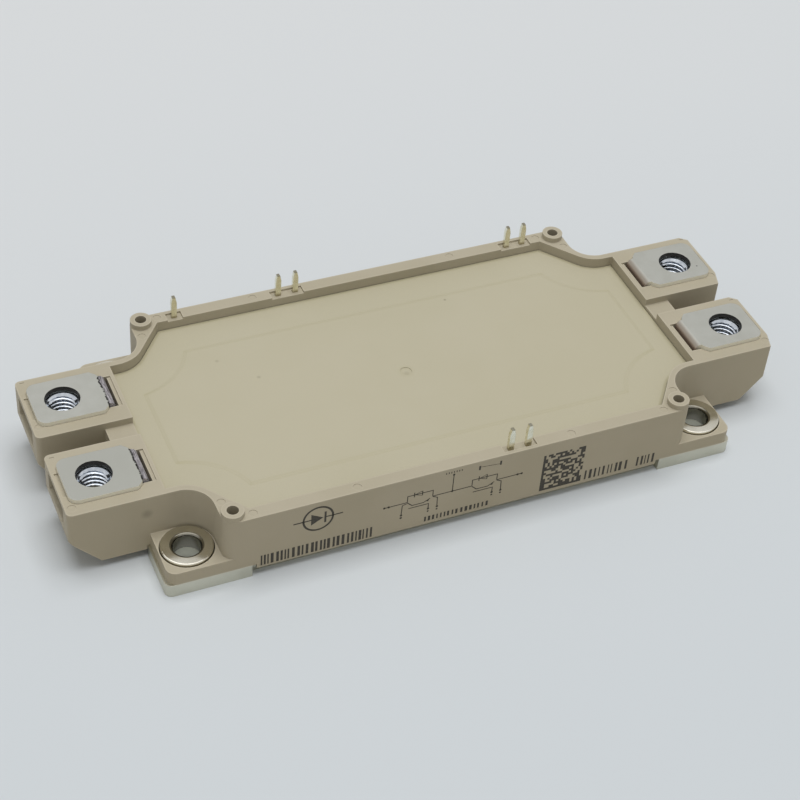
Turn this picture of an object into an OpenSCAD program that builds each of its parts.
// Half-bridge power module. A nickel-plated copper base plate carries a moulded frame with four
// screw terminals over captive nuts, seven signal pins, a glued-in lid, and three soldered ceramic
// substrates with their chips and bond wires.
//
// Millimetres. X runs along the length, Y across it and Z up. The origin is the centre of the
// base plate's underside. The front is the long side at -Y, and the left end is the one at -X.

/* [Overall] */
// Length over the terminal blocks
module_length = 152; // [150:0.5:160]
// Width of the base plate and the frame
module_width = 62; // [61.5:0.5:66]
// How far the terminal blocks reach past each end of the base plate
block_overhang = 15; // [14.5:0.25:17]

/* [Mounting holes] */
// Diameter of the mounting holes
mount_hole_d = 5.5; // [4.5:0.1:6.4]
// Distance from a mounting hole to the plate's two nearest edges
mount_edge = 6; // [5.9:0.1:7]
// Radius kept clear round a mounting hole for the bolt head and its washer
bolt_clear_r = 5.5; // [5.4:0.05:6]

/* [Base plate] */
// Thickness of the base plate
plate_t = 3; // [2:0.25:5]
// How far the plate's edges are set back between its four corner ears
plate_waist = 1.4; // [1.2:0.1:2]
// Length of each corner ear
ear_length = 17; // [15:0.5:20]
// Corner radius of the ears
ear_corner_r = 1.5; // [0.5:0.1:3]

/* [Moulded frame] */
// Height of the frame's rim above the base plate
frame_height = 12.7; // [12:0.1:16]
// Width of the rim along the two long sides
rim_width = 2.9; // [2.6:0.1:3.4]
// Thickness of the curved wall round each mounting hole
corner_wall = 1.3; // [1.1:0.1:2.2]
// Angle between the long rim and the slanting wall at each corner
corner_angle = 52; // [48:1:58]
// Distance from the plate's end to the inner face of the end wall
end_wall_inset = 4.1; // [3.8:0.1:5]
// Thickness of the four mounting tabs
tab_t = 3; // [2.5:0.1:5]
// How far the tabs stop short of the plate's ends
tab_inset = 0.5; // [0.1:0.1:0.8]
// Corner radius of the tabs
tab_corner_r = 2; // [0.5:0.1:3]
// How far the skirt reaches down past the plate's top face
skirt_drop = 1; // [0.3:0.1:1.5]
// Gap between the skirt and the plate
skirt_gap = 0.15; // [0.05:0.05:0.4]
// Diameter of the round bosses that hold a circuit board
boss_d = 4.5; // [4:0.1:5]
// Height of the bosses above the rim
boss_rise = 1.2; // [0.3:0.1:2]
// Diameter of the screw holes in the bosses
boss_hole_d = 2.3; // [1.8:0.1:2.8]
// Depth of the screw holes in the bosses
boss_hole_depth = 10; // [6:0.5:12]
// Diameter of the moulding tool's ejector marks
ejector_d = 1.7; // [1:0.1:2]
// Depth of the ejector marks
ejector_depth = 0.12; // [0.05:0.01:0.3]

/* [Terminal blocks] */
// Distance from a terminal hole to the block's outer end
terminal_edge = 7.5; // [7.2:0.1:8.5]
// Width of plastic between the contact face and the block's outer side
terminal_side = 2.7; // [1.8:0.1:3.2]
// Width of the open slot between the two blocks of one end
block_slot = 4.9; // [4:0.1:5.4]
// Corner radius of the left-hand blocks
block_corner_r = 1.1; // [0.5:0.1:2]
// Length of the slope under each block's outer end
slope_length = 6; // [3:0.5:8]
// Height of that slope
slope_height = 6.6; // [3:0.2:7.2]
// Length of the low saddle between the blocks, from the end wall's inner face
saddle_length = 5.6; // [4:0.2:7]
// How far the saddle lies below the rim
saddle_drop = 1.6; // [1:0.1:2]

/* [Power terminals] */
// Thickness of the terminal strip
terminal_t = 1; // [0.8:0.05:1.2]
// Width of the flat contact face
terminal_w = 11.6; // [10:0.2:12]
// Width of the neck and of the foot
neck_w = 8.4; // [6:0.2:9]
// Distance from the terminal hole to the strip's outer end
terminal_end = 6.1; // [5.5:0.1:6.3]
// Diameter of the terminal hole
terminal_hole_d = 7; // [6.4:0.1:7.4]
// Corner radius of the contact face
terminal_corner_r = 2; // [0.5:0.1:2.5]
// Outer radius of the strip's bends
bend_r = 1.3; // [1.25:0.05:2]
// How far the contact face stands above the rim
terminal_proud = 0.9; // [0.3:0.05:0.95]
// Clearance round the contact face in its recess
recess_gap = 0.12; // [0.05:0.01:0.3]
// Gap between the neck and the slot that it drops through, on the lid's side
slot_gap = 0.6; // [0.4:0.05:0.8]
// Length of the foot that rests on the substrate
foot_landing = 3; // [2:0.25:3.5]

/* [Terminal nuts] */
// Width across the nut's flats
nut_flats = 10; // [9:0.1:11]
// Thickness of the nut
nut_t = 5; // [3.5:0.1:5.5]
// Bore of the nut, at the thread's crests
nut_bore_d = 5; // [4:0.1:5.4]
// Clearance round the nut in its pocket
nut_gap = 0.2; // [0.1:0.05:0.4]
// Diameter of the well under the nut that takes the end of the screw
well_d = 7; // [6.2:0.1:8]
// Depth of that well below the nut
well_depth = 4.5; // [3:0.1:5]
// Thickness of the bridge of plastic over the nut's opening
nut_bridge = 1.1; // [0.8:0.1:1.6]

/* [Bushings] */
// Outside diameter of the bushings
bushing_d = 10.2; // [9:0.1:10.6]
// How far the bushings stand above the tabs
bushing_proud = 0.6; // [0.1:0.05:0.8]
// Gap round the bushing in its tab
bushing_gap = 0.2; // [0.1:0.05:0.3]
// Edge radius at the bushing's bore
bushing_inner_round = 0.6; // [0.2:0.1:1]
// Edge radius round the bushing's outside
bushing_outer_round = 0.25; // [0.1:0.05:0.8]

/* [Lid] */
// How far the lid's face lies below the rim
lid_drop = 2.3; // [2:0.1:3]
// Thickness of the lid
lid_t = 1.6; // [1:0.1:2]
// Width of the ledge that carries the lid
ledge_width = 1.2; // [0.8:0.1:1.6]
// Gap round the lid
lid_gap = 0.1; // [0.05:0.01:0.2]
// Height of the lid's raised middle panel
panel_rise = 0.12; // [0.05:0.01:0.3]
// Distance from the lid's ends to the panel
panel_inset_x = 4.5; // [3:0.5:8]
// Distance from the lid's long edges to the panel
panel_inset_y = 7.6; // [5:0.1:10]
// Distance from the corner walls to the panel
panel_inset_corner = 8; // [6:0.5:10]
// Width of the bevel round the panel
panel_bevel = 0.7; // [0.3:0.1:1]
// Diameter of the gate mark in the lid's middle
gate_d = 2.4; // [1:0.1:4]

/* [Signal pins] */
// Distance between neighbouring places in the pin grid
pin_pitch = 3.81; // [3.7:0.01:3.9]
// Least distance from the outer pins to the bosses
pin_clear = 4; // [3:0.25:4.75]
// Width of a pin, along the rim
pin_w = 1.15; // [0.8:0.05:1.3]
// Thickness of a pin
pin_t = 0.8; // [0.5:0.05:1]
// Width of a pin at its tip
pin_tip_w = 0.6; // [0.4:0.05:0.75]
// Length of the tapered tip
pin_taper = 1.4; // [0.5:0.1:3]
// Height of the pins above the rim
pin_rise = 4.9; // [3:0.1:8]
// Distance from the frame's long face to the middle of the pins
pin_edge = 1.7; // [1.4:0.05:1.9]
// Depth of the shallow pockets round the pins
pin_pocket_depth = 0.45; // [0.2:0.05:1]
// Distance from a pin's middle to the end of its pocket
pin_pocket_end = 1.65; // [1:0.05:1.8]
// Height of the pins' bonding feet above the base plate
pin_foot_z = 5; // [4.5:0.1:6]
// Length of a bonding foot inside the frame
pin_foot = 2.2; // [1.5:0.1:3]

/* [Substrates and chips] */
// Distance from the end walls' inner faces to the outer substrates
substrate_end = 9.4; // [8.5:0.1:11]
// Distance from the long walls' inner faces to the substrates
substrate_side = 10.1; // [9.8:0.1:10.6]
// Gap between neighbouring substrates
substrate_gap = 2.5; // [2:0.1:3]
// Thickness of the ceramic
ceramic_t = 0.4; // [0.25:0.05:0.7]
// Thickness of the copper on each face of the ceramic
copper_t = 0.3; // [0.2:0.05:0.4]
// Margin of bare ceramic round the copper
copper_margin = 0.6; // [0.4:0.1:1]
// Thickness of a chip with its solder
chip_t = 0.3; // [0.15:0.05:0.4]
// Bare copper on each side of a transistor chip
chip_margin = 1.2; // [1:0.1:2.5]
// Bare copper on each side of a diode chip
diode_margin = 2.2; // [1.5:0.1:3]
// Diameter of the thick bond wires on the chips
power_wire_d = 0.4; // [0.25:0.05:0.5]
// Diameter of the bond wires at the pins
signal_wire_d = 0.3; // [0.2:0.05:0.4]
// Height of the bond wires' loops
wire_rise = 1.3; // [0.8:0.1:1.6]
// Height of the gel above the base plate
gel_height = 8; // [7.8:0.1:8.4]

/* [Hidden] */
$fn = 64;
over = 1;                                   // how far a cut runs past the face that it opens

// plan
plate = [module_length / 2 - block_overhang, module_width / 2];    // half the base plate's size
mount = plate - [mount_edge, mount_edge];
boss_r = boss_d / 2;
boss = [mount.x - bolt_clear_r - boss_r, plate.y - boss_r];
wall_y = mount.y - bolt_clear_r;            // outer face of the wall behind a tab
cavity = [plate.x - end_wall_inset, plate.y - rim_width];
block_x = module_length / 2;
saddle_x = cavity.x + saddle_length;
terminal = [block_x - terminal_edge, wall_y - terminal_side - terminal_w / 2];
skirt_ear_gap = 0.9;                        // gap between the skirt and the plate's ears
block_cut = [1.5, 1.3];                     // straight cut at the right-hand blocks' back corners
block_taper = [1.2, 3.5];                   // the same at their front corners
witness_length = 0.8;                       // mark of the tool beyond a terminal strip's end
witness_half = 3.2;                         // half the width of that mark
boss_step = 0.05;                           // step between the wall's face and a boss
ejector_edge = 1.4;                         // distance of an ejector mark from the outer faces
ejector_block_y = [-17.5, 5.5];             // marks on the front and on the back blocks
scar_y = [-3.4, 18.8];                      // short straight scars on the same blocks
scar = [0.9, 0.25];                         // size of such a scar
ejector_boss = [3.7, 3.8];                  // distances of the marks beside a boss
ejector_rim_x = 22.7;                       // place of the marks along the long rims
lap = 0.01;                                 // how far the lid's panel runs into the lid

// heights
rim_z = plate_t + frame_height;
tab_z = plate_t + tab_t;
skirt_z = plate_t - skirt_drop;
lid_z = rim_z - lid_drop;
ledge_z = lid_z - lid_t;
seat_z = rim_z + terminal_proud - terminal_t;
nut_drop = 0.3;                             // gap between the nut and the strip over it
nut_z = seat_z - nut_drop - nut_t;
track_z = plate_t + ceramic_t + 2 * copper_t;
chip_z = track_z + chip_t;
foot_z = plate_t + pin_foot_z;
gel_z = plate_t + gel_height;

// strip and slot of a power terminal, measured from the module's middle
end_web = 0.8;                              // plastic between the lid's pocket and the lead-in
slot_lead = 0.7;                            // length of the shallow lead-in before the slot
slot_x = cavity.x + end_web + slot_lead;    // lid-side face of the slot
neck_x = slot_x + slot_gap;                 // inner face of the neck
slot_side = 0.25;                           // gap beside the neck in the slot
tool_depth = 0.35;                          // depth of the lead-in and of the mark at the end
contact_lead = 0.3;                         // from the neck's bend to the shoulders
contact_shoulder = 1;                       // chamfer of the shoulders
nut_pocket = nut_flats + 2 * nut_gap;

// pins stand half way between the grid's lines; the outer ones on the last place before a boss.
// Each has its step in the grid, its side of the frame, and how many steps its bond wire leans
last_step = floor((boss.x - boss_r - pin_clear) / pin_pitch - 1 / 2) + 1 / 2;
PIN_STEPS = [
    [-last_step, 1, 0], [-9 / 2, 1, -0.7], [-7 / 2, 1, 0.3],
    [last_step - 1, 1, -0.15], [last_step, 1, 0.2], [5 / 2, -1, 0], [7 / 2, -1, 0]
];
pin_y = plate.y - pin_edge;
pocket_side = 0.5;                          // room in a pocket beyond the pin's outer face
pocket_y = pin_y + pin_t / 2 + pocket_side;
shelf_edge = 0.3;                           // plastic beyond the end of a bonding foot
shelf_y = cavity.y - ledge_width - pin_foot - shelf_edge;
shelf_half = 1.6;                           // half the width of the shelf under a foot

// substrates: three in a row, with the places of what they carry measured from their middles
substrate_x = (2 * (cavity.x - substrate_end) - 2 * substrate_gap) / 3;
substrate_y = 2 * (cavity.y - substrate_side);
substrate_step = substrate_x + substrate_gap;
foot_end_x = substrate_step + substrate_x / 2 - foot_landing;
track_half = [substrate_x / 2 - copper_margin, substrate_y / 2 - copper_margin];
track_space = 0.7;                          // bare ceramic between two tracks
gate_w = 1.6;                               // width of the gate tracks at the two edges
minus_w = 6.1;                              // width of the negative track
link_w = 4;                                 // width of the cross track at the right-hand end
link_space = 1;                             // gap between the cross track and those that end there
track_y = track_half.y - gate_w - track_space;
chip_track_w = track_y - minus_w / 2 - track_space; // width of the two tracks under the chips
dc_plus = [track_y - chip_track_w, track_y];    // lower and upper edge of each track
dc_minus = [-track_y, minus_w - track_y];
ac = [dc_minus[1] + track_space, dc_plus[0] - track_space];
chip_end = 4.4;                             // bare copper on the left of a transistor chip
chip_space = 2;                             // gap between a transistor chip and its diode
foot_space = 4;                             // gap between a diode and a terminal's foot
chip_room = track_half.x - chip_end - chip_space + substrate_x / 2 - foot_landing - foot_space;
igbt_share = 9 / 16;                        // a transistor chip's share of that room
igbt = [chip_room * igbt_share, chip_track_w - 2 * chip_margin];
diode = [chip_room - igbt.x, chip_track_w - 2 * diode_margin];
igbt_x = chip_end - track_half.x + igbt.x / 2;
diode_x = igbt_x + igbt.x / 2 + chip_space + diode.x / 2;
upper_y = (dc_plus[0] + dc_plus[1]) / 2;    // chips of the upper switch
lower_y = (ac[0] + ac[1]) / 2;              // chips of the lower switch
wire_landing = 1;                           // from a track's edge to a bond wire's end
igbt_wire_step = 2.4;                       // spacing of the wires on a transistor chip
diode_wire_step = 3;                        // spacing of the wires on a diode chip
sensor_pad_w = 3.8;                         // width of the two pads under the thermistor
sensor_gap = 1;                             // gap between those pads
sensor_mid_x = (last_step - 1 / 2) * pin_pitch - substrate_step;
sensor_x = sensor_mid_x - sensor_gap / 2 - sensor_pad_w;    // where the first pad starts

frame_colour = "#b7b09a";
lid_colour = "#bab49c";
nickel_colour = "#b4b6ae";
steel_colour = "#9aa0a6";
copper_colour = "#c08050";

// ---- placing

module four_corners()
    for (flip_x = [0, 1], flip_y = [0, 1])
        mirror([flip_x, 0, 0]) mirror([0, flip_y, 0]) children();

// side_x and side_y are 1 or -1; the children are drawn for the +X +Y quarter
module at_corner(side_x, side_y)
    mirror([side_x < 0 ? 1 : 0, 0, 0]) mirror([0, side_y < 0 ? 1 : 0, 0]) children();

module slab(z_low, z_high)
    translate([0, 0, z_low]) linear_extrude(z_high - z_low) children();

// rectangle from one corner to another
module area(low, high)
    translate(low) square(high - low);

// rectangle whose corner at high is rounded
module area_rounded(low, high, radius) {
    area(low, high - [radius, 0]);
    area(low, high - [0, radius]);
    translate(high - [radius, radius]) circle(radius);
}

// ---- base plate

module plate_outline() {
    square(2 * (plate - [plate_waist, plate_waist]), center = true);
    four_corners() area_rounded([plate.x - ear_length, wall_y], plate, ear_corner_r);
}

module base_plate()
    color(nickel_colour)
        difference() {
            slab(0, plate_t) plate_outline();
            four_corners() translate([mount.x, mount.y, -over])
                cylinder(d = mount_hole_d, h = plate_t + 2 * over);
        }

// ---- bushings

module bushing_profile() {
    inner_r = mount_hole_d / 2;
    outer_r = bushing_d / 2;
    height = tab_t + bushing_proud;
    area([inner_r, 0], [outer_r, height - bushing_inner_round]);
    area([inner_r + bushing_inner_round, 0], [outer_r, height - bushing_outer_round]);
    area([inner_r + bushing_inner_round, 0], [outer_r - bushing_outer_round, height]);
    translate([inner_r + bushing_inner_round, height - bushing_inner_round])
        circle(bushing_inner_round);
    translate([outer_r - bushing_outer_round, height - bushing_outer_round])
        circle(bushing_outer_round);
}

module bushing(side_x, side_y)
    color(nickel_colour)
        at_corner(side_x, side_y)
            translate([mount.x, mount.y, plate_t]) rotate_extrude() bushing_profile();

// ---- moulded frame

// what a left-hand block loses at a corner that lies at the origin
module corner_round()
    difference() {
        area([-block_corner_r, -block_corner_r], [over, over]);
        translate([-block_corner_r, -block_corner_r]) circle(block_corner_r);
    }

// what a right-hand block loses there: a straight cut that runs on past both faces
module corner_cut(cut)
    polygon([[-cut.x * (1 + over / cut.y), over], [over, over],
             [over, -cut.y * (1 + over / cut.x)]]);

// one terminal block in plan, drawn for the +X side, from its front face to its back face
module block_outline(side_x, front, back)
    difference() {
        area([saddle_x - over, front], [block_x, back]);
        translate([block_x, back])
            if (side_x > 0) corner_cut(block_cut);
            else corner_round();
        translate([block_x, front]) mirror([0, 1])
            if (side_x > 0) corner_cut(block_taper);
            else corner_round();
    }

module blocks_outline()
    for (side_x = [-1, 1]) at_corner(side_x, 1) {
        block_outline(side_x, -wall_y, -block_slot / 2);
        block_outline(side_x, block_slot / 2, wall_y);
    }

// the wall and the blocks in plan, without the tabs
module wall_outline() {
    square([2 * boss.x, 2 * plate.y], center = true);
    square([2 * (boss.x + boss_r), 2 * boss.y], center = true);
    square([2 * saddle_x, 2 * wall_y], center = true);
    blocks_outline();
    four_corners() {
        translate(boss) circle(boss_r);
        // hollow round the mounting hole
        difference() {
            area(mount - [bolt_clear_r, bolt_clear_r], mount);
            translate(mount) circle(bolt_clear_r);
        }
    }
}

module tab_outline()
    four_corners()
        area_rounded([plate.x - ear_length, wall_y - over], plate - [tab_inset, 0], tab_corner_r);

// inside of the wall, drawn in by inset; the corner walls run round the mounting holes
module inner_outline(inset)
    difference() {
        square(2 * (cavity - [inset, inset]), center = true);
        four_corners() corner_web(inset);
    }

module corner_web(inset) {
    radius = bolt_clear_r + corner_wall + inset;
    tangent = mount - radius * [sin(corner_angle), cos(corner_angle)];
    rise = cavity.y + over - tangent.y;
    outside = [tangent.x - rise / tan(corner_angle), tangent.y + rise];
    translate(mount) circle(radius);
    polygon([tangent, outside, [cavity.x + over, outside.y], [cavity.x + over, mount.y], mount]);
    area([mount.x, mount.y - radius], [cavity.x + over, mount.y]);
}

// what reaches down past the plate's top face: the long sides and the ends
module skirt_outline()
    difference() {
        union() {
            square([2 * (plate.x - ear_length - skirt_ear_gap), 2 * plate.y], center = true);
            intersection() {
                wall_outline();
                union() {
                    square([2 * block_x, 2 * (wall_y - skirt_gap)], center = true);
                    four_corners() area([plate.x + skirt_gap, 0], [block_x, wall_y]);
                }
            }
        }
        square(2 * (plate - [plate_waist - skirt_gap, plate_waist - skirt_gap]), center = true);
    }

module end_slope()
    translate([0, wall_y + over, 0]) rotate([90, 0, 0]) linear_extrude(2 * (wall_y + over))
        polygon([[block_x - slope_length, skirt_z], [block_x + over, skirt_z],
                 [block_x + over, skirt_z + slope_height * (1 + over / slope_length)]]);

module contact_outline(gap) {
    half = terminal_w / 2 + gap;
    inner_x = neck_x + bend_r - gap;
    lead_x = inner_x + contact_lead;
    outer_x = terminal.x + terminal_end + gap;
    translate([0, terminal.y]) {
        polygon([[inner_x, -neck_w / 2 - gap], [inner_x, neck_w / 2 + gap],
                 [lead_x, half - contact_shoulder], [lead_x + contact_shoulder, half],
                 [outer_x - terminal_corner_r, half], [outer_x - terminal_corner_r, -half],
                 [lead_x + contact_shoulder, -half], [lead_x, contact_shoulder - half]]);
        for (flip = [0, 1]) mirror([0, flip, 0])
            area_rounded([terminal.x, 0], [outer_x, half], terminal_corner_r);
    }
}

// recess, slot, nut pocket and screw well of one terminal
module terminal_cuts() {
    slab(seat_z, rim_z + over) contact_outline(recess_gap);
    slot_half = neck_w / 2 + slot_side;
    // mark of the tool beyond the strip's end, and the lead-in before the slot
    slab(rim_z - tool_depth, rim_z + over) {
        area([terminal.x + terminal_end - witness_length, terminal.y - witness_half],
             [terminal.x + terminal_end + witness_length, terminal.y + witness_half]);
        area([slot_x - slot_lead, terminal.y - slot_half], [neck_x, terminal.y + slot_half]);
    }
    slab(plate_t - over, rim_z + over)
        area([slot_x, terminal.y - slot_half], [neck_x + bend_r, terminal.y + slot_half]);
    // way in for the foot, open at the bottom
    slab(plate_t - over, track_z + terminal_t + recess_gap)
        area([cavity.x - ledge_width - over, terminal.y - neck_w / 2 - recess_gap],
             [neck_x + terminal_t + recess_gap, terminal.y + neck_w / 2 + recess_gap]);
    translate([terminal.x, terminal.y, nut_z]) {
        cylinder(d = nut_pocket / cos(30), h = seat_z - nut_z + over, $fn = 6);
        translate([0, 0, -well_depth]) cylinder(d = well_d, h = well_depth + over);
    }
    slab(nut_z, rim_z - nut_bridge)
        area([terminal.x, terminal.y - nut_pocket / 2], [block_x + over, terminal.y + nut_pocket / 2]);
}

// pocket in the rim, opening and shelf cut for one pin
module pin_cuts(pin) {
    x = pin[0] * pin_pitch;
    at_corner(1, pin[1]) {
        slab(rim_z - pin_pocket_depth, rim_z + over)
            area([x - pin_pocket_end, cavity.y - over], [x + pin_pocket_end, pocket_y]);
        slab(foot_z, rim_z + over)
            area([x - pin_w / 2, pin_y - pin_t / 2], [x + pin_w / 2, pin_y + pin_t / 2]);
        slab(foot_z, foot_z + pin_t)
            area([x - pin_w / 2, shelf_y - over], [x + pin_w / 2, pin_y]);
    }
}

module pin_shelf(pin)
    at_corner(1, pin[1])
        slab(plate_t, foot_z)
            area([pin[0] * pin_pitch - shelf_half, shelf_y],
                 [pin[0] * pin_pitch + shelf_half, cavity.y]);

// the joined pocket of two neighbouring pins
module pin_pair_pocket(pin)
    at_corner(1, pin[1])
        slab(rim_z - pin_pocket_depth, rim_z + over)
            area([pin[0] * pin_pitch, cavity.y - over], [(pin[0] + 1) * pin_pitch, pocket_y]);

module ejector_mark(place)
    translate([place.x, place.y, rim_z - ejector_depth]) cylinder(d = ejector_d, h = over);

module ejector_marks() {
    places = [
        [boss.x - ejector_boss.x, plate.y - ejector_edge],
        [boss.x + boss_r - corner_wall, boss.y - ejector_boss.y],
        [ejector_rim_x, plate.y - ejector_edge]
    ];
    four_corners()
        for (place = places) ejector_mark(place);
    for (side_x = [-1, 1]) at_corner(side_x, 1) {
        for (y = ejector_block_y) ejector_mark([block_x - ejector_edge, y]);
        slab(rim_z - ejector_depth, rim_z + over)
            for (y = scar_y) translate([block_x - ejector_edge, y]) square(scar, center = true);
    }
}

module frame_body() {
    difference() {
        union() {
            slab(plate_t, rim_z) wall_outline();
            slab(plate_t, tab_z) tab_outline();
            slab(skirt_z, plate_t) skirt_outline();
            four_corners() translate([boss.x, boss.y, rim_z - over])
                cylinder(r = boss_r - boss_step, h = boss_rise + over);
        }
        slab(plate_t - over, ledge_z) inner_outline(ledge_width);
        slab(ledge_z, rim_z + over) inner_outline(0);
    }
    for (pin = PIN_STEPS) pin_shelf(pin);
}

module housing_frame()
    color(frame_colour)
        difference() {
            frame_body();
            four_corners() {
                end_slope();
                terminal_cuts();
                translate([mount.x, mount.y, plate_t - over])
                    cylinder(d = bushing_d + 2 * bushing_gap, h = tab_t + 2 * over);
                translate([boss.x, boss.y, rim_z + boss_rise - boss_hole_depth])
                    cylinder(d = boss_hole_d, h = boss_hole_depth + over);
            }
            // low saddle between the blocks of each end
            for (flip = [0, 1]) mirror([flip, 0, 0])
                slab(rim_z - saddle_drop, rim_z + over)
                    area([cavity.x - over, -block_slot / 2], [saddle_x + over, block_slot / 2]);
            for (pin = PIN_STEPS) pin_cuts(pin);
            for (first = [1, 3, 5]) pin_pair_pocket(PIN_STEPS[first]);
            ejector_marks();
        }

// ---- lid

module panel_outline()
    difference() {
        square(2 * (cavity - [panel_inset_x, panel_inset_y]), center = true);
        four_corners() translate(mount)
            circle(bolt_clear_r + corner_wall + panel_inset_corner);
    }

module lid()
    color(lid_colour)
        difference() {
            union() {
                slab(ledge_z, lid_z) inner_outline(lid_gap);
                half = cavity - [panel_inset_x, panel_inset_y];
                translate([0, 0, lid_z - lap])
                    linear_extrude(panel_rise + lap, slices = 1,
                                   scale = [1 - panel_bevel / half.x, 1 - panel_bevel / half.y])
                        panel_outline();
            }
            translate([0, 0, lid_z]) cylinder(d = gate_d, h = panel_rise + over);
        }

// ---- power terminals

// quarter of a bend, drawn in X and Z round its centre
module bend_quarter(turn)
    rotate(turn)
        difference() {
            intersection() {
                circle(bend_r);
                square(bend_r);
            }
            circle(bend_r - terminal_t);
        }

module neck_profile() {
    top = seat_z + terminal_t - bend_r;
    low = track_z + bend_r;
    out = neck_x + terminal_t;
    area([neck_x, low], [out, top]);
    translate([neck_x + bend_r, top]) bend_quarter(90);
    translate([out - bend_r, low]) bend_quarter(-90);
    area([foot_end_x, track_z], [out - bend_r, track_z + terminal_t]);
}

module power_terminal(side_x, side_y)
    color(nickel_colour)
        at_corner(side_x, side_y) {
            difference() {
                slab(seat_z, seat_z + terminal_t) contact_outline(0);
                translate([terminal.x, terminal.y, seat_z - over])
                    cylinder(d = terminal_hole_d, h = terminal_t + 2 * over);
            }
            translate([0, terminal.y + neck_w / 2, 0]) rotate([90, 0, 0])
                linear_extrude(neck_w) neck_profile();
        }

// ---- terminal nuts

module nut_profile() {
    corner_r = nut_flats / 2 / cos(30);
    flat_r = nut_flats / 2;
    bore_r = nut_bore_d / 2;
    sink = 0.55;                            // countersink at both ends of the thread
    bevel = (corner_r - flat_r) * tan(30);
    polygon([[bore_r + sink, 0], [flat_r, 0], [corner_r, bevel], [corner_r, nut_t - bevel],
             [flat_r, nut_t], [bore_r + sink, nut_t], [bore_r, nut_t - sink], [bore_r, sink]]);
}

module terminal_nut(side_x, side_y)
    color(steel_colour)
        at_corner(side_x, side_y)
            translate([terminal.x, terminal.y, nut_z])
                intersection() {
                    cylinder(d = nut_flats / cos(30), h = nut_t, $fn = 6);
                    rotate_extrude() nut_profile();
                }

// ---- signal pins

module signal_pin(pin) {
    top_z = rim_z + pin_rise;
    color(nickel_colour)
        at_corner(1, pin[1]) translate([pin[0] * pin_pitch, 0, 0]) {
            translate([0, pin_y + pin_t / 2, 0]) rotate([90, 0, 0]) linear_extrude(pin_t)
                polygon([[-pin_w / 2, foot_z], [pin_w / 2, foot_z],
                         [pin_w / 2, top_z - pin_taper], [pin_tip_w / 2, top_z],
                         [-pin_tip_w / 2, top_z], [-pin_w / 2, top_z - pin_taper]]);
            slab(foot_z, foot_z + pin_t)
                area([-pin_w / 2, shelf_y + shelf_edge], [pin_w / 2, pin_y]);
        }
}

// ---- substrates: -1 is the left one, 0 the middle one and 1 the right one

module at_substrate(place)
    translate([place * substrate_step, 0, 0]) children();

module substrate(place)
    at_substrate(place) {
        color("ivory")
            slab(plate_t + copper_t, plate_t + copper_t + ceramic_t)
                square([substrate_x, substrate_y], center = true);
        color(copper_colour)
            slab(plate_t, plate_t + copper_t) square(2 * track_half, center = true);
    }

module tracks(place)
    color(copper_colour)
        at_substrate(place) slab(track_z - copper_t, track_z) {
            left = -track_half.x;
            right = track_half.x;
            inner_right = place == 1 ? right - link_w - link_space : right;
            area([left, dc_plus[0]], [inner_right, dc_plus[1]]);
            area([left, dc_minus[0]], [inner_right, dc_minus[1]]);
            area([place == -1 ? left + link_w : left, ac[0]], [right, ac[1]]);
            if (place == 1) {
                area([right - link_w, dc_minus[0]], [right, dc_plus[1]]);
                for (pad_x = [sensor_x, sensor_x + sensor_pad_w + sensor_gap])
                    area([pad_x, track_half.y - gate_w], [pad_x + sensor_pad_w, track_half.y]);
            }
            area([left, track_half.y - gate_w],
                 [place == 1 ? sensor_x - track_space : right, track_half.y]);
            area([left, -track_half.y], [right, gate_w - track_half.y]);
        }

module chip(place, x, y, size, colour)
    color(colour)
        at_substrate(place) slab(track_z, chip_z)
            translate([x, y]) square(size, center = true);

module igbt_upper(place) chip(place, igbt_x, upper_y, igbt, "darkslategray");
module igbt_lower(place) chip(place, igbt_x, lower_y, igbt, "darkslategray");
module diode_upper(place) chip(place, diode_x, upper_y, diode, "slategray");
module diode_lower(place) chip(place, diode_x, lower_y, diode, "slategray");

// copper bridges that carry the tracks over the gap between two substrates
module bridge(track, width) {
    landing = 1;
    reach = substrate_gap / 2 + copper_margin + landing;
    rise = 0.8;
    thick = 0.4;
    translate([0, (track[0] + track[1] + width) / 2, 0])
        rotate([90, 0, 0]) linear_extrude(width) {
            area([-reach, track_z + rise - thick], [reach, track_z + rise]);
            for (flip = [0, 1]) mirror([flip, 0])
                area([reach - thick, track_z], [reach, track_z + rise]);
        }
}

module bridges(side) {
    wide = 6;
    narrow = 4;
    color(copper_colour)
        translate([side * substrate_step / 2, 0, 0]) {
            bridge(dc_plus, wide);
            bridge(ac, wide);
            bridge(dc_minus, narrow);
        }
}

// ---- bond wires

module wire_bend(wire_d, turn)
    rotate([90, 0, 0]) rotate(turn) rotate_extrude(angle = 90)
        translate([wire_rise, 0]) circle(d = wire_d, $fn = 24);

// a loop from one point to another: up, over and down, with round bends
module bond_wire(from, to, wire_d) {
    run = norm([to.x - from.x, to.y - from.y]);
    high_z = max(from.z, to.z);
    translate([from.x, from.y, 0])
        rotate(atan2(to.y - from.y, to.x - from.x)) {
            translate([wire_rise, 0, high_z]) wire_bend(wire_d, 90);
            translate([run - wire_rise, 0, high_z]) wire_bend(wire_d, 0);
            translate([wire_rise, 0, high_z + wire_rise]) rotate([0, 90, 0])
                cylinder(d = wire_d, h = run - 2 * wire_rise, $fn = 24);
            if (high_z > to.z)
                translate([run, 0, to.z]) cylinder(d = wire_d, h = high_z - to.z, $fn = 24);
        }
}

// wires from the top of a chip across to the next track; places are in steps from x
module chip_wires(x, y, places, step, landing_y)
    for (place = places)
        bond_wire([x + place * step, y, chip_z], [x + place * step, landing_y, track_z],
                  power_wire_d);

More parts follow.
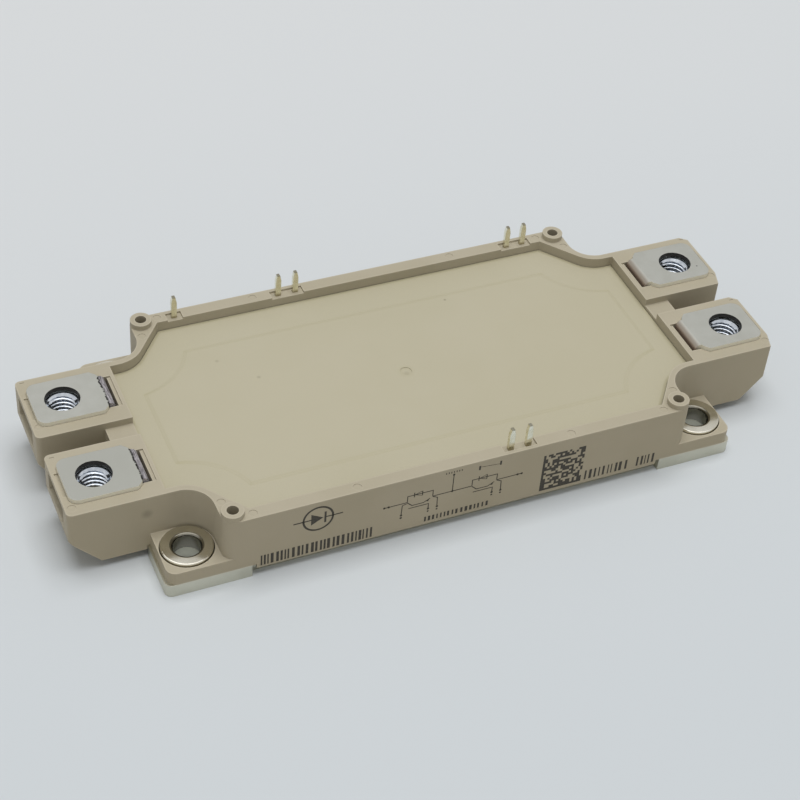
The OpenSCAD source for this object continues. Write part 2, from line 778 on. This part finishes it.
module power_wires(place)
    color("silver")
        at_substrate(place) {
            ac_landing = ac[1] - wire_landing;
            minus_landing = dc_minus[1] - 2 * wire_landing;
            chip_wires(igbt_x, upper_y, [-1, 0, 1], igbt_wire_step, ac_landing);
            chip_wires(diode_x, upper_y, [-0.5, 0.5], diode_wire_step, ac_landing);
            chip_wires(igbt_x, lower_y, [-1, 0, 1], igbt_wire_step, minus_landing);
            chip_wires(diode_x, lower_y, [-0.5, 0.5], diode_wire_step, minus_landing);
        }

module signal_wires()
    color("silver")
        for (pin = PIN_STEPS)
            at_corner(1, pin[1])
                bond_wire([pin[0] * pin_pitch, shelf_y + wire_landing, foot_z + pin_t],
                          [(pin[0] + pin[2]) * pin_pitch, track_half.y - gate_w / 2, track_z],
                          signal_wire_d);

// ---- thermistor across its two pads

module thermistor() {
    body = [2.4, 1.2, 0.8];
    color("dimgray")
        at_substrate(1)
            translate([sensor_mid_x - body.x / 2, track_half.y - gate_w / 2 - body.y / 2, track_z])
                cube(body);
}

// ---- silicone gel, poured to the walls and relieved round what it covers

module gel() {
    relief = 0.4;
    half = [substrate_step + substrate_x / 2 + relief, substrate_y / 2 + relief];
    color("lightcyan")
        difference() {
            slab(plate_t, gel_z) inner_outline(ledge_width);
            slab(plate_t - over, chip_z + wire_rise + power_wire_d + relief)
                square(2 * half, center = true);
            four_corners()
                slab(plate_t - over, track_z + terminal_t + relief)
                    area([half.x - relief, terminal.y - neck_w / 2 - relief],
                         [cavity.x, terminal.y + neck_w / 2 + relief]);
            for (pin = PIN_STEPS)
                at_corner(1, pin[1])
                    slab(plate_t - over, foot_z + pin_t + wire_rise + signal_wire_d + relief)
                        area([(pin[0] + min(0, pin[2])) * pin_pitch - shelf_half - relief,
                              track_half.y - gate_w],
                             [(pin[0] + max(0, pin[2])) * pin_pitch + shelf_half + relief,
                              cavity.y]);
        }
}

base_plate();
housing_frame();
lid();
bushing(-1, -1);  // bushing_front_left
bushing(1, -1);  // bushing_front_right
bushing(-1, 1);  // bushing_back_left
bushing(1, 1);  // bushing_back_right
power_terminal(-1, -1);  // terminal_front_left
power_terminal(1, -1);  // terminal_front_right
power_terminal(-1, 1);  // terminal_back_left
power_terminal(1, 1);  // terminal_back_right
terminal_nut(-1, -1);  // nut_front_left
terminal_nut(1, -1);  // nut_front_right
terminal_nut(-1, 1);  // nut_back_left
terminal_nut(1, 1);  // nut_back_right
signal_pin(PIN_STEPS[0]);  // pin_back_1
signal_pin(PIN_STEPS[1]);  // pin_back_2
signal_pin(PIN_STEPS[2]);  // pin_back_3
signal_pin(PIN_STEPS[3]);  // pin_back_4
signal_pin(PIN_STEPS[4]);  // pin_back_5
signal_pin(PIN_STEPS[5]);  // pin_front_1
signal_pin(PIN_STEPS[6]);  // pin_front_2
substrate(-1);  // substrate_left
substrate(0);  // substrate_middle
substrate(1);  // substrate_right
tracks(-1);  // tracks_left
tracks(0);  // tracks_middle
tracks(1);  // tracks_right
igbt_upper(-1);  // igbt_upper_left
igbt_upper(0);  // igbt_upper_middle
igbt_upper(1);  // igbt_upper_right
igbt_lower(-1);  // igbt_lower_left
igbt_lower(0);  // igbt_lower_middle
igbt_lower(1);  // igbt_lower_right
diode_upper(-1);  // diode_upper_left
diode_upper(0);  // diode_upper_middle
diode_upper(1);  // diode_upper_right
diode_lower(-1);  // diode_lower_left
diode_lower(0);  // diode_lower_middle
diode_lower(1);  // diode_lower_right
bridges(-1);  // bridges_left
bridges(1);  // bridges_right
power_wires(-1);  // power_wires_left
power_wires(0);  // power_wires_middle
power_wires(1);  // power_wires_right
signal_wires();
thermistor();
gel();
